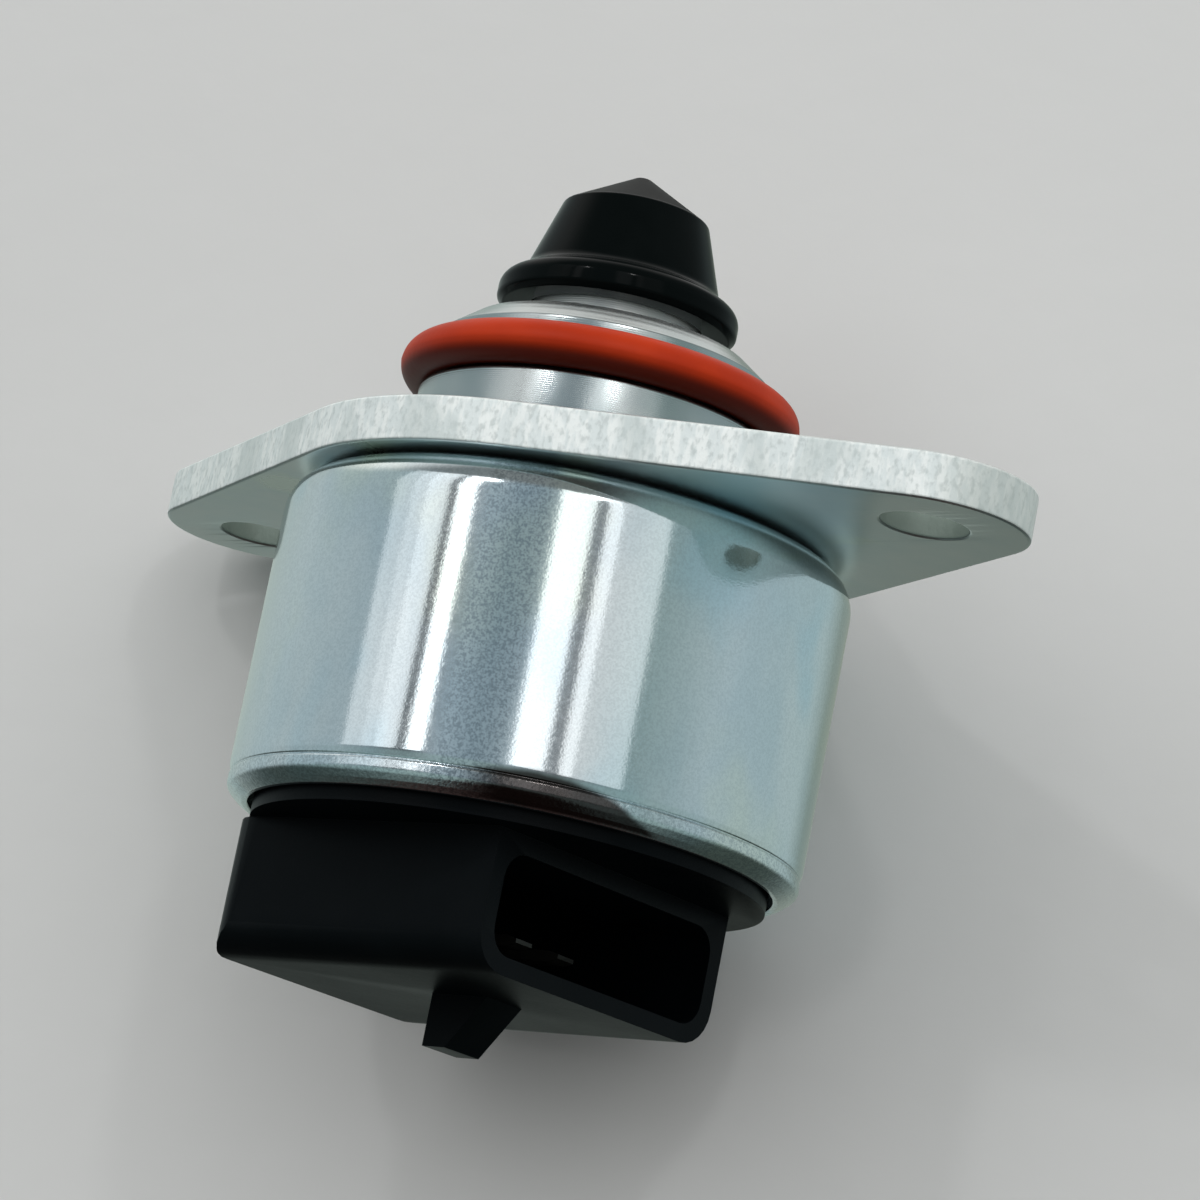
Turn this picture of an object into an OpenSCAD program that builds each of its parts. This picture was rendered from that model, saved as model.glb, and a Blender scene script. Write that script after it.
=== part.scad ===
// Idle air control valve: a two bolt flange, a drawn motor can with a stepper
// motor inside, a lead screw that slides the pintle, and a plug-in socket.
// The valve axis is Z with the pintle up. The origin is the centre of the
// flange face that meets the throttle body. The bolt holes lie along X.

/* [Flange] */
// Thickness of the mounting flange
flange_t = 2.8; // [2:0.1:4]
// Distance between the two bolt holes
hole_pitch = 53; // [48:0.5:60]
// Diameter of each bolt hole
hole_d = 5.2; // [4.4:0.1:6]
// Radius of the rounded end around each bolt hole
lobe_r = 6.2; // [5:0.1:8]

/* [Motor can] */
// Outer diameter of the drawn can
can_d = 35; // [33:0.5:40]
// Height of the can below the flange
can_h = 20.4; // [19:0.2:30]
// Sheet thickness of the can
can_wall = 1; // [0.8:0.1:1.3]
// Outside radius of the can's top corner
can_corner = 2.5; // [1.5:0.1:3]
// Width of the lip that is crimped over the rear cover
crimp_w = 1.5; // [1.4:0.1:2]

/* [Pilot] */
// Diameter of the pilot that enters the throttle body
pilot_d = 22; // [20:0.5:25]
// Height of the pilot up to its cone
pilot_h = 7.6; // [6.8:0.1:10]
// Section diameter of the sealing ring
ring_section = 2.7; // [2:0.1:2.8]
// Diameter of the neck under the pintle
neck_d = 10.4; // [9.6:0.1:10.8]

/* [Pintle] */
// Widest diameter of the pintle skirt
pintle_d = 15; // [14:0.1:18]
// Length of the pintle from its rim to its tip
pintle_h = 9.6; // [9.2:0.1:14]
// Diameter of the pintle where the skirt meets the cone
waist_d = 12.2; // [11.4:0.1:12.8]
// Diameter of the cone at its upper end
crown_d = 9.2; // [7.6:0.1:9.8]
// Travel of the pintle, through which the screw stays in its nut
travel = 8; // [4:0.5:8]

/* [Rotor] */
// Diameter of the lead screw
screw_d = 4; // [3.6:0.1:4.4]
// Bore of the front ball bearing
bearing_bore = 8; // [7.6:0.1:8.4]
// Number of balls in the front bearing
ball_count = 8; // [6:1:8]

/* [Stator] */
// Sheet thickness of the claw pole plates
plate_t = 0.8; // [0.6:0.1:1]
// Number of claws on each plate
claw_count = 12; // [8:2:12]

/* [Socket] */
// Width of the socket across its mouth
conn_w = 21.6; // [20:0.2:26]
// Length of the socket from its mouth to its back
conn_l = 22.4; // [18:0.2:24]
// Depth of the socket below the rear cover
conn_h = 8.2; // [7.6:0.1:13]
// Wall of the socket beside and below its opening
conn_wall = 1.1; // [0.9:0.1:1.6]
// Distance between neighbouring terminals
pin_pitch = 4; // [3:0.1:4.6]
// Width of each terminal blade
pin_w = 1.5; // [1:0.1:2]

/* [Hidden] */
$fn = 96;
// Clearances
press = 0.02;
slide = 0.05;
run = 0.3;
eps = 0.01;
over = 1;

// Levels along Z, from the mounting face down
z_can = -flange_t;
z_inner = z_can - can_wall;
base_t = 2;
z_base = z_inner - base_t;
z_rim = z_can - can_h;
crimp_t = can_wall;
z_seat = z_rim + crimp_t;
cover_t = 2;
z_cover = z_seat + cover_t;
washer_t = 0.4;
z_stack = z_cover + washer_t;
bobbin_h = (z_base - z_stack - 4 * plate_t) / 2;
z_plate_b = z_base - 2 * plate_t - bobbin_h;
z_plate_c = z_plate_b - plate_t;
z_plate_d = z_stack;

// Radii of the can and its crimp
can_r = can_d / 2;
can_in_r = can_r - can_wall;
crimp_r = can_r - crimp_w;
crimp_flat = 0.05;
crimp_corner = crimp_w - crimp_flat;
arc_steps = 10;

// Flange
bulge_lap = 0.1;
bulge_r = can_r + bulge_lap;
hole_x = hole_pitch / 2;
side_inset = 0.06;
side_a = acos((bulge_r - lobe_r) / hole_x);

// Pilot housing
pilot_r = pilot_d / 2;
groove_depth = 0.48 * ring_section;
groove_r = pilot_r - groove_depth;
groove_play = 0.3;
groove_w = ring_section + groove_play;
collar_t = 0.5;
ring_z = pilot_h - collar_t - groove_w / 2;
ring_r = groove_r + ring_section / 2 + eps;
undercut_h = 0.4;
undercut = 0.3;
collar_in = 0.6;
collar_r = pilot_r - collar_in;
cone_rise = 1.4;
cone_in = 1.8;
cone_r = collar_r - cone_in;
z_pilot = pilot_h + cone_rise;
base_play = 0.1;
base_r = can_in_r - can_corner + can_wall - base_play;

// Front bearing
race_in_r = bearing_bore / 2;
race_t = 1.4;
ball_r = 1.2;
orbit_in = 2;
ball_orbit = race_in_r + orbit_in;
race_out_r = ball_orbit + orbit_in;
ball_gap = 0.04;
bearing_w = 4;
keeper_t = 0.8;
keeper_w = 1.1;
z_bearing = z_base + keeper_t;
z_pocket = z_bearing + bearing_w;
z_balls = z_bearing + bearing_w / 2;
cage_t = 0.7;
cage_h = 3.1;
relief_w = 1.6;
relief_r = race_in_r + relief_w;

// Guide bush
screw_r = screw_d / 2;
flat_half = 0.8 * screw_r;
bush_wall = 1.9;
bush_r = screw_r + bush_wall;
head_r = neck_d / 2;
head_t = 1.2;
neck_rise = 1.4;
bush_lift = 3;
z_bush = z_pocket + bush_lift;
z_head = z_pilot + head_t;
z_neck = z_head + neck_rise;

// Pintle
z_pintle = z_head + run;
pintle_r = pintle_d / 2;
waist_r = waist_d / 2;
crown_r = crown_d / 2;
rim_in = 0.4;
rim_r = pintle_r - rim_in;
lip_low = 0.35;
lip_high = 0.9;
z_lip_a = z_pintle + lip_low;
z_lip_b = z_pintle + lip_high;
z_waist = z_pintle + 0.245 * pintle_h;
z_crown = z_pintle + 0.724 * pintle_h;
z_nose = z_pintle + pintle_h;
nose_r = 0.5;
nose_drop = 0.15;
flare_r = 1.2;
flare_a = 55;
flare_steps = 5;
neck_bore_r = head_r + run;
z_neck_bore = z_neck + run;
cavity_wall = 1.5;
cavity_r = waist_r - cavity_wall;
cavity_h = 4.2;
z_roof = z_pintle + cavity_h;
grip_h = 2.6;

// Return spring
wire_r = 0.25;
coil_play = 1.5;
coil_r = screw_r + coil_play;
coil_turns = 5;
coil_steps = 20;
coil_sides = 6;
z_coil_a = z_head + wire_r;
z_coil_b = z_roof - wire_r;
seat_r = coil_r + wire_r + run;

// Rotor
clip_t = 0.5;
clip_over = 0.9;
clip_depth = 0.4;
journal_over = 0.9;
shoulder_w = 1;
clip_r = race_in_r + clip_over;
clip_groove_r = race_in_r - clip_depth;
z_journal = z_pocket + journal_over;
shoulder_r = race_in_r + shoulder_w;
z_hub = z_base - run;
z_rotor = z_cover + run;
tail_r = 3;
tail_h = 1.8;
hub_play = 0.6;
blind_t = 0.4;
nut_wall = 1.6;
nut_drop = 6;
screw_play = 0.5;
screw_catch = 1;
hub_bore_r = screw_r + hub_play;
z_hub_bore = z_rotor + blind_t;
nut_r = screw_r + nut_wall;
nut_h = 5;
z_nut = z_pocket - nut_drop - nut_h;
z_screw = max(z_nut + screw_catch - travel, z_hub_bore + screw_play);
thread_gap = 0.06;
bushing_r = 4.5;
bushing_h = 2;

// Radial room from the nut out to the can, shared by the hub, the magnet and the winding
air_gap = 0.4;
bobbin_play = 0.1;
bobbin_wall = 0.7;
bobbin_in = 0.6;
wire_in = 0.6;
fixed_room = air_gap + plate_t + bobbin_play + bobbin_wall + bobbin_in + wire_in;
room = can_in_r - nut_r - fixed_room;
hub_share = 0.35;
magnet_share = 0.25;
hub_r = nut_r + hub_share * room;
magnet_r = hub_r + magnet_share * room;

// Stator
claw_play = 1;
claw_in_r = magnet_r + air_gap;
claw_out_r = claw_in_r + plate_t;
plate_r = can_in_r - press;
claw_len = bobbin_h - claw_play;
claw_root = 0.78 * PI * claw_in_r / claw_count;
claw_tip = 0.55 * claw_root;
claw_turn = 180 / claw_count;
bobbin_in_r = claw_out_r + bobbin_play;
bobbin_out_r = can_in_r - bobbin_in;
wire_out_r = bobbin_out_r - wire_in;

// Rear cover and socket
cover_r = can_in_r - press;
boss_r = crimp_r - run;
boss_drop = 0.8;
z_boss = z_rim - boss_drop;
seal_section = 1.2;
seal_r = cover_r - seal_section / 2;
seal_groove_r = cover_r - seal_section - eps;
seal_play = 0.1;
seal_groove_w = seal_section + seal_play;
z_seal = z_seat + cover_t / 2;
z_sole = z_boss - conn_h;
conn_x0 = -0.61 * conn_l;
conn_x1 = conn_x0 + conn_l;
conn_y = conn_w / 2;
sole_corner = 2.4;
back_corner = 3;
block_steps = 6;
mouth_y = conn_y - conn_wall;
z_mouth_a = z_sole + conn_wall;
z_mouth_b = z_boss - conn_wall;
mouth_corner = 1.6;
mouth_depth = 0.7 * conn_l;
mouth_x0 = conn_x1 - mouth_depth;
latch_w = 3.2;
latch_drop = 3.2;
latch_x0 = conn_x1 - 0.5 * conn_l;
latch_flat = 1.8;
latch_run = 4.4;
latch_x1 = latch_x0 + latch_flat;
latch_x2 = latch_x0 + latch_run;

// Terminals
pin_count = 4;
pin_t = 0.64;
pin_tip_half = pin_t / 5;
pin_z = (z_mouth_a + z_mouth_b) / 2;
pin_recess = 8;
pin_x1 = conn_x1 - pin_recess;
pin_back = 2.2;
pin_sink = 0.4;
pin_point = 0.8;
pin_x0 = mouth_x0 - pin_back;
z_pin_top = z_cover - pin_sink;

function arc(cx, cy, r, a0, a1, n) =
  [for (i = [0:n]) [cx + r * cos(a0 + (a1 - a0) * i / n), cy + r * sin(a0 + (a1 - a0) * i / n)]];

module tube(r_in, r_out, z0, z1) {
  translate([0, 0, z0]) difference() {
    cylinder(h = z1 - z0, r = r_out);
    translate([0, 0, -over]) cylinder(h = z1 - z0 + 2 * over, r = r_in);
  }
}

module bore(r, z0, z1) {
  translate([0, 0, z0]) cylinder(h = z1 - z0, r = r);
}

module screw_section(gap, z0, z1) {
  intersection() {
    bore(screw_r + gap, z0, z1);
    translate([-screw_r - over, -flat_half - gap, z0])
      cube([2 * (screw_r + over), 2 * (flat_half + gap), z1 - z0]);
  }
}

module flange_sides() {
  bx = (bulge_r - side_inset) * cos(side_a);
  by = (bulge_r - side_inset) * sin(side_a);
  lx = hole_x + (lobe_r - side_inset) * cos(side_a);
  ly = (lobe_r - side_inset) * sin(side_a);
  translate([0, 0, z_can]) linear_extrude(height = flange_t)
    polygon([[lx, ly], [bx, by], [-bx, by], [-lx, ly], [-lx, -ly], [-bx, -by], [bx, -by], [lx, -ly]]);
}

module mounting_flange() {
  color([0.72, 0.75, 0.76])
  difference() {
    union() {
      bore(bulge_r, z_can, 0);
      for (x = [-hole_x, hole_x]) translate([x, 0, 0]) bore(lobe_r, z_can, 0);
      flange_sides();
    }
    bore(pilot_r + press, z_can - over, over);
    for (x = [-hole_x, hole_x]) translate([x, 0, 0]) bore(hole_d / 2, z_can - over, over);
  }
}

module motor_can() {
  color([0.62, 0.68, 0.7])
  rotate_extrude() polygon(concat(
    [[pilot_r + press, z_inner], [pilot_r + press, z_can]],
    arc(can_r - can_corner, z_can - can_corner, can_corner, 90, 0, arc_steps),
    arc(can_r - crimp_corner, z_rim + crimp_corner, crimp_corner, 0, -90, arc_steps),
    [[crimp_r, z_rim], [crimp_r, z_seat], [can_in_r, z_seat]],
    arc(can_r - can_corner, z_can - can_corner, can_corner - can_wall, 0, 90, arc_steps)));
}

module pilot_housing() {
  color([0.74, 0.76, 0.77])
  difference() {
    rotate_extrude() polygon([
      [bush_r + press, z_base], [base_r, z_base], [base_r, z_inner], [pilot_r, z_inner],
      [pilot_r, 0], [pilot_r - undercut, 0], [pilot_r - undercut, undercut_h],
      [pilot_r, undercut_h], [pilot_r, ring_z - groove_w / 2], [groove_r, ring_z - groove_w / 2],
      [groove_r, ring_z + groove_w / 2], [collar_r, ring_z + groove_w / 2],
      [collar_r, pilot_h], [cone_r, z_pilot], [bush_r + press, z_pilot]]);
    bore(relief_r, z_base - over, z_bush);
    bore(race_out_r + press, z_base - over, z_pocket);
  }
}

module pilot_o_ring() {
  color([0.8, 0.25, 0.08])
  rotate_extrude() translate([ring_r, ring_z]) circle(d = ring_section, $fn = 32);
}

module guide_bush() {
  color([0.8, 0.81, 0.8])
  difference() {
    union() {
      bore(bush_r, z_bush, z_pilot);
      bore(head_r, z_pilot, z_neck);
    }
    screw_section(slide, z_bush - over, z_head + over);
    bore(seat_r, z_head, z_neck + over);
  }
}

module pintle() {
  color([0.06, 0.06, 0.07])
  difference() {
    rotate_extrude() polygon(concat(
      [[0, z_pintle], [rim_r, z_pintle], [pintle_r, z_lip_a]],
      [for (i = [0:flare_steps]) let (a = flare_a * i / flare_steps)
        [pintle_r - flare_r * (1 - cos(a)), z_lip_b + flare_r * sin(a)]],
      [[waist_r, z_waist], [crown_r, z_crown], [nose_r, z_nose - nose_drop], [0, z_nose]]));
    bore(neck_bore_r, z_pintle - over, z_neck_bore);
    bore(cavity_r, z_pintle - over, z_roof);
    screw_section(0, z_roof - over, z_roof + grip_h);
  }
}

module pintle_spring() {
  steps = coil_turns * coil_steps;
  rise = (z_coil_b - z_coil_a) / steps;
  ring_points = [for (i = [0:steps], k = [0:coil_sides - 1])
    let (a = 360 * i / coil_steps, b = 360 * k / coil_sides, rr = coil_r + wire_r * cos(b))
    [rr * cos(a), rr * sin(a), z_coil_a + rise * i + wire_r * sin(b)]];
  side_faces = [for (i = [0:steps - 1], k = [0:coil_sides - 1])
    let (k2 = (k + 1) % coil_sides)
    [i * coil_sides + k, i * coil_sides + k2, (i + 1) * coil_sides + k2, (i + 1) * coil_sides + k]];
  first_face = [for (k = [0:coil_sides - 1]) coil_sides - 1 - k];
  last_face = [for (k = [0:coil_sides - 1]) steps * coil_sides + k];
  color([0.6, 0.6, 0.6])
  polyhedron(points = ring_points, faces = concat(side_faces, [first_face, last_face]));
}

module lead_screw() {
  color([0.7, 0.71, 0.72])
  screw_section(0, z_screw, z_roof + grip_h);
}

module ball_track(gap) {
  translate([0, 0, z_balls]) rotate_extrude()
    translate([ball_orbit, 0]) circle(r = ball_r + gap, $fn = 48);
}

module bearing_outer_race() {
  color([0.7, 0.71, 0.73])
  difference() {
    tube(race_out_r - race_t, race_out_r, z_bearing, z_pocket);
    ball_track(ball_gap);
  }
}

module bearing_inner_race() {
  color([0.7, 0.71, 0.73])
  difference() {
    tube(race_in_r, race_in_r + race_t, z_bearing, z_pocket);
    ball_track(ball_gap);
  }
}

module ball_set(gap) {
  for (i = [0:ball_count - 1]) rotate([0, 0, 360 * i / ball_count])
    translate([ball_orbit, 0, z_balls]) sphere(r = ball_r + gap, $fn = 32);
}

module bearing_balls() {
  color([0.82, 0.83, 0.85])
  ball_set(0);
}

module bearing_cage() {
  color([0.75, 0.6, 0.3])
  difference() {
    tube(ball_orbit - cage_t / 2, ball_orbit + cage_t / 2, z_balls - cage_h / 2, z_balls + cage_h / 2);
    ball_set(slide);
  }
}

module bearing_keeper() {
  color([0.66, 0.67, 0.68])
  tube(race_out_r - keeper_w, race_out_r, z_base, z_bearing);
}

module rotor_clip() {
  color([0.55, 0.56, 0.58])
  tube(clip_groove_r, clip_r, z_pocket, z_pocket + clip_t);
}

module rotor_hub() {
  color([0.85, 0.83, 0.76])
  difference() {
    rotate_extrude() polygon([
      [0, z_rotor - tail_h], [tail_r, z_rotor - tail_h], [tail_r, z_rotor], [hub_r, z_rotor],
      [hub_r, z_hub], [shoulder_r, z_hub], [shoulder_r, z_bearing], [race_in_r, z_bearing],
      [race_in_r, z_pocket], [clip_groove_r, z_pocket], [clip_groove_r, z_pocket + clip_t],
      [race_in_r, z_pocket + clip_t], [race_in_r, z_journal], [0, z_journal]]);
    bore(hub_bore_r, z_hub_bore, z_journal + over);
    bore(nut_r, z_nut, z_nut + nut_h);
  }
}

module drive_nut() {
  color([0.75, 0.6, 0.28])
  tube(screw_r + thread_gap, nut_r, z_nut, z_nut + nut_h);
}

module rotor_magnet() {
  color([0.16, 0.16, 0.17])
  tube(hub_r, magnet_r, z_rotor, z_hub - run);
}

module claw_prisms() {
  for (i = [0:claw_count / 2 - 1]) rotate([0, 0, 360 * i / claw_count])
    translate([-claw_out_r - over, 0, 0]) rotate([90, 0, 90])
      linear_extrude(height = 2 * (claw_out_r + over))
        polygon([[-claw_root / 2, 0], [claw_root / 2, 0],
          [claw_tip / 2, plate_t + claw_len], [-claw_tip / 2, plate_t + claw_len]]);
}

module claw_plate() {
  color([0.6, 0.62, 0.64]) {
    tube(claw_in_r, plate_r, 0, plate_t);
    intersection() {
      tube(claw_in_r, claw_out_r, 0, plate_t + claw_len);
      claw_prisms();
    }
  }
}

module stator_plate_1() {
  translate([0, 0, z_base]) rotate([180, 0, 0]) claw_plate();
}

module stator_plate_2() {
  translate([0, 0, z_plate_b]) rotate([0, 0, claw_turn]) claw_plate();
}

module stator_plate_3() {
  translate([0, 0, z_plate_b]) rotate([180, 0, 0]) rotate([0, 0, claw_turn / 2]) claw_plate();
}

module stator_plate_4() {
  translate([0, 0, z_plate_d]) rotate([0, 0, claw_turn / 2]) claw_plate();
}

module bobbin(z0) {
  difference() {
    tube(bobbin_in_r, bobbin_out_r, z0, z0 + bobbin_h);
    tube(bobbin_in_r + bobbin_wall, bobbin_out_r + over, z0 + bobbin_wall, z0 + bobbin_h - bobbin_wall);
  }
}

module winding(z0) {
  tube(bobbin_in_r + bobbin_wall, wire_out_r, z0 + bobbin_wall, z0 + bobbin_h - bobbin_wall);
}

module coil_bobbin_front() {
  color([0.2, 0.22, 0.24])
  bobbin(z_base - plate_t - bobbin_h);
}

module coil_bobbin_rear() {
  color([0.2, 0.22, 0.24])
  bobbin(z_stack + plate_t);
}

module winding_front() {
  color([0.72, 0.38, 0.2])
  winding(z_base - plate_t - bobbin_h);
}

module winding_rear() {
  color([0.72, 0.38, 0.2])
  winding(z_stack + plate_t);
}

module insulating_washer() {
  color([0.5, 0.4, 0.28])
  tube(claw_out_r, plate_r, z_cover, z_stack);
}

module rear_bushing() {
  color([0.7, 0.52, 0.28])
  tube(tail_r + slide, bushing_r, z_cover - bushing_h, z_cover);
}

module cover_seal() {
  color([0.1, 0.1, 0.1])
  rotate_extrude() translate([seal_r, z_seal]) circle(d = seal_section, $fn = 24);
}

module socket_block() {
  intersection() {
    translate([conn_x0, 0, 0]) rotate([90, 0, 90]) linear_extrude(height = conn_l)
      polygon(concat([[conn_y, z_boss], [-conn_y, z_boss]],
        arc(-conn_y + sole_corner, z_sole + sole_corner, sole_corner, 180, 270, block_steps),
        arc(conn_y - sole_corner, z_sole + sole_corner, sole_corner, 270, 360, block_steps)));
    translate([0, 0, z_sole - over]) linear_extrude(height = conn_h + 2 * over)
      polygon(concat([[conn_x1 + over, -conn_y - over], [conn_x1 + over, conn_y + over]],
        [[conn_x0 + back_corner, conn_y + over]],
        arc(conn_x0 + back_corner, conn_y - back_corner, back_corner, 90, 180, block_steps),
        arc(conn_x0 + back_corner, -conn_y + back_corner, back_corner, 180, 270, block_steps),
        [[conn_x0 + back_corner, -conn_y - over]]));
  }
}

module socket_cavity() {
  yc = mouth_y - mouth_corner;
  translate([mouth_x0, 0, 0]) rotate([90, 0, 90]) linear_extrude(height = mouth_depth + over)
    polygon(concat(
      arc(yc, z_mouth_b - mouth_corner, mouth_corner, 0, 90, block_steps),
      arc(-yc, z_mouth_b - mouth_corner, mouth_corner, 90, 180, block_steps),
      arc(-yc, z_mouth_a + mouth_corner, mouth_corner, 180, 270, block_steps),
      arc(yc, z_mouth_a + mouth_corner, mouth_corner, 270, 360, block_steps)));
}

module socket_latch() {
  translate([0, latch_w / 2, 0]) rotate([90, 0, 0]) linear_extrude(height = latch_w)
    polygon([[latch_x0, z_sole + conn_wall / 2], [latch_x0, z_sole - latch_drop],
      [latch_x1, z_sole - latch_drop], [latch_x2, z_sole], [latch_x2, z_sole + conn_wall / 2]]);
}

module pin_shape(i, gap) {
  half_w = pin_w / 2 + gap;
  half_t = pin_t / 2 + gap;
  y_mid = pin_pitch * (i - (pin_count + 1) / 2);
  translate([0, y_mid + half_w, 0]) rotate([90, 0, 0]) linear_extrude(height = 2 * half_w)
    polygon([[pin_x0 - gap, pin_z - half_t], [pin_x1 - pin_point, pin_z - half_t],
      [pin_x1, pin_z - pin_tip_half], [pin_x1, pin_z + pin_tip_half],
      [pin_x1 - pin_point, pin_z + half_t], [pin_x0 + pin_t + gap, pin_z + half_t],
      [pin_x0 + pin_t + gap, z_pin_top + gap], [pin_x0 - gap, z_pin_top + gap]]);
}

module connector_housing() {
  color([0.07, 0.07, 0.08])
  difference() {
    union() {
      bore(cover_r, z_seat, z_cover);
      bore(boss_r, z_boss, z_seat);
      socket_block();
      socket_latch();
    }
    tube(seal_groove_r, cover_r + over, z_seal - seal_groove_w / 2, z_seal + seal_groove_w / 2);
    bore(bushing_r, z_cover - bushing_h, z_cover + over);
    socket_cavity();
    for (i = [1:pin_count]) pin_shape(i, press);
  }
}

module terminal_1() {
  color([0.8, 0.8, 0.76])
  pin_shape(1, 0);
}

module terminal_2() {
  color([0.8, 0.8, 0.76])
  pin_shape(2, 0);
}

module terminal_3() {
  color([0.8, 0.8, 0.76])
  pin_shape(3, 0);
}

module terminal_4() {
  color([0.8, 0.8, 0.76])
  pin_shape(4, 0);
}

mounting_flange();
motor_can();
pilot_housing();
pilot_o_ring();
guide_bush();
pintle();
pintle_spring();
lead_screw();
bearing_outer_race();
bearing_inner_race();
bearing_balls();
bearing_cage();
bearing_keeper();
rotor_clip();
rotor_hub();
drive_nut();
rotor_magnet();
stator_plate_1();
stator_plate_2();
stator_plate_3();
stator_plate_4();
coil_bobbin_front();
coil_bobbin_rear();
winding_front();
winding_rear();
insulating_washer();
rear_bushing();
cover_seal();
connector_housing();
terminal_1();
terminal_2();
terminal_3();
terminal_4();
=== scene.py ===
import math

import bmesh
import bpy
from bpy.props import FloatProperty, FloatVectorProperty, IntProperty, PointerProperty
from mathutils import Matrix, Vector


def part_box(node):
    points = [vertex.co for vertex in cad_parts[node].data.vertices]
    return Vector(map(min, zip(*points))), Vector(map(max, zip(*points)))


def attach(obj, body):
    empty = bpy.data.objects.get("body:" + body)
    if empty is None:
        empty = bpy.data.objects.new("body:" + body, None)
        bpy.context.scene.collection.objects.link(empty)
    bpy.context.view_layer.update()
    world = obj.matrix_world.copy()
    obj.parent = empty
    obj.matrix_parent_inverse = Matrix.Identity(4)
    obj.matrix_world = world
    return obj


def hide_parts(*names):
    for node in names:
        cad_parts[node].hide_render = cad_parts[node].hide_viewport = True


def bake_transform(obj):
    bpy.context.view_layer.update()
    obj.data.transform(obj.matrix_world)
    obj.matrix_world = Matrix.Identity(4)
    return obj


bl_info = {
    "name": "Idle air control valve looks",
    "version": (1, 0, 0),
    "blender": (4, 5, 0),
    "location": "3D View > Sidebar > Valve",
    "description": "Finishes, fine shapes and a small studio for an idle air control valve",
    "category": "Object",
}

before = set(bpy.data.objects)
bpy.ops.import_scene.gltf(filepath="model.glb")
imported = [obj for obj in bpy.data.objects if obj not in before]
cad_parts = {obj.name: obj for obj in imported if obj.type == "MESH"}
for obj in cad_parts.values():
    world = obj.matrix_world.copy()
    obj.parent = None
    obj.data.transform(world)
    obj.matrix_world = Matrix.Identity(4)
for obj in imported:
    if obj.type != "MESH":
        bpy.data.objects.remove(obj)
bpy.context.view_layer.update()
MM = 0.001

# The camera as fitted to the photograph, in the valve's own frame
PICTURE_SIDE = 1200
FOCAL_PIXELS = 4919.1
SENSOR = 36.0
VIEW_OFFSET = Vector((-1.055, 300.0, 6.888)) * MM
VIEW_PITCH = -0.2258
VIEW_ROLL = 0.1949
VIEW_HEADING = 0.7269

# The soft boxes: how far off they stand, how high and how tall, and the two lamps over them
BOX_DISTANCE = 0.6
PANEL_RISE, PANEL_HEIGHT = 16.0, 0.48
LAMP_RISE, LAMP_HEIGHT, LAMP_RADIANCE = 33.0, 0.035, 60.0


# Places that come from the frame

def low(node):
    """Height of a node's lowest point."""
    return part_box(node)[0].z


def high(node):
    """Height of a node's highest point."""
    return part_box(node)[1].z


def outer_radius(node):
    """Radius of a node that is round about the valve's axis."""
    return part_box(node)[1].y


# Sizes and colours that a user would change

def length(name, description, millimetres):
    """A length setting."""
    return FloatProperty(
        name=name, description=description, default=millimetres * MM, min=0.0,
        unit="LENGTH", precision=5)


class ValveSizes(bpy.types.PropertyGroup):
    """Small sizes that the frame leaves open."""

    segments: IntProperty(
        name="Round segments", description="Facets round each turned piece",
        default=192, min=48, max=256)
    edge: length("Edge", "Rounding of turned edges", 0.22)
    sheet_edge: length("Sheet edge", "Rounding of the flange's sheared edge", 0.2)
    lobe: length("Lobe", "Radius of the flange's ends", 6.2)
    hole: length("Hole", "Radius of the bolt holes", 2.6)
    can_wall: length("Can wall", "Sheet thickness of the can", 1.0)
    can_corner: length("Can corner", "Radius of the can's top corner", 2.5)
    rim_height: length("Rim height", "Height of the rolled rim", 1.55)
    rim_width: length("Rim width", "How far the rim is rolled in", 1.5)
    rim_crease: length("Rim crease", "Depth of the crease above the rolled rim", 0.08)
    rim_neck: length("Rim neck", "How far the wall curves in before the crease", 0.12)
    # The height of the painted dark reflection on the rim's front
    dark_reflection_height: length("Smudge height", "Height of the dark oily smudge on the rim", 2.2)
    pilot: length("Pilot", "Radius of the pilot", 11.0)
    pilot_collar: length("Pilot collar", "Radius of the pilot above its ring", 10.4)
    pilot_cone: length("Pilot cone", "Radius at the top of the pilot's cone", 8.6)
    pilot_height: length("Pilot height", "Height of the pilot up to its cone", 7.6)
    ring_groove: length("Ring groove", "Radius of the ring's groove", 9.704)
    undercut: length("Undercut", "Depth of the relief where the pilot meets the flange", 0.3)
    shank: length("Bush shank", "Radius of the bush's shank", 3.9)
    spring_seat: length("Spring seat", "Radius of the spring's seat in the neck", 4.05)
    play: length("Play", "Gap between the retracted pintle and the bush", 0.3)
    screw: length("Screw", "Radius of the lead screw", 2.0)
    screw_flat: length("Screw flat", "Half the width across the screw's flats", 1.6)
    thread_lead: length("Thread lead", "Travel for one turn of the screw", 1.0)
    thread_depth: length("Thread depth", "Depth of the screw's thread", 0.3)
    waist: length("Pintle waist", "Radius of the pintle above its skirt", 6.1)
    crown: length("Pintle crown", "Radius of the pintle at its shoulder", 4.6)
    flare: length("Pintle flare", "Radius of the skirt's outer edge", 1.2)
    cavity: length("Pintle cavity", "Radius of the hollow under the pintle", 4.6)
    cavity_height: length("Cavity height", "Height of the hollow under the pintle", 4.2)
    coil_turn: length("Coil turn", "Pitch of the winding's turns", 0.42)
    spring_wire: length("Spring wire", "Diameter of the return spring's wire", 0.5)
    latch_drop: length("Latch drop", "How far the latch wedge stands out below the socket", 3.2)
    sole_corner: length("Sole corner", "Radius of the socket's long lower corners", 2.4)
    heel: length("Socket heel", "Rounding of the socket's lower back edge", 1.3)
    socket_edge: length("Socket edge", "Rounding of the socket's moulded edges", 0.3)


def colour(name, description, default):
    """A colour setting, in linear red, green and blue."""
    return FloatVectorProperty(
        name=name, description=description, default=default, min=0.0, max=1.0,
        subtype="COLOR", size=3)


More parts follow.
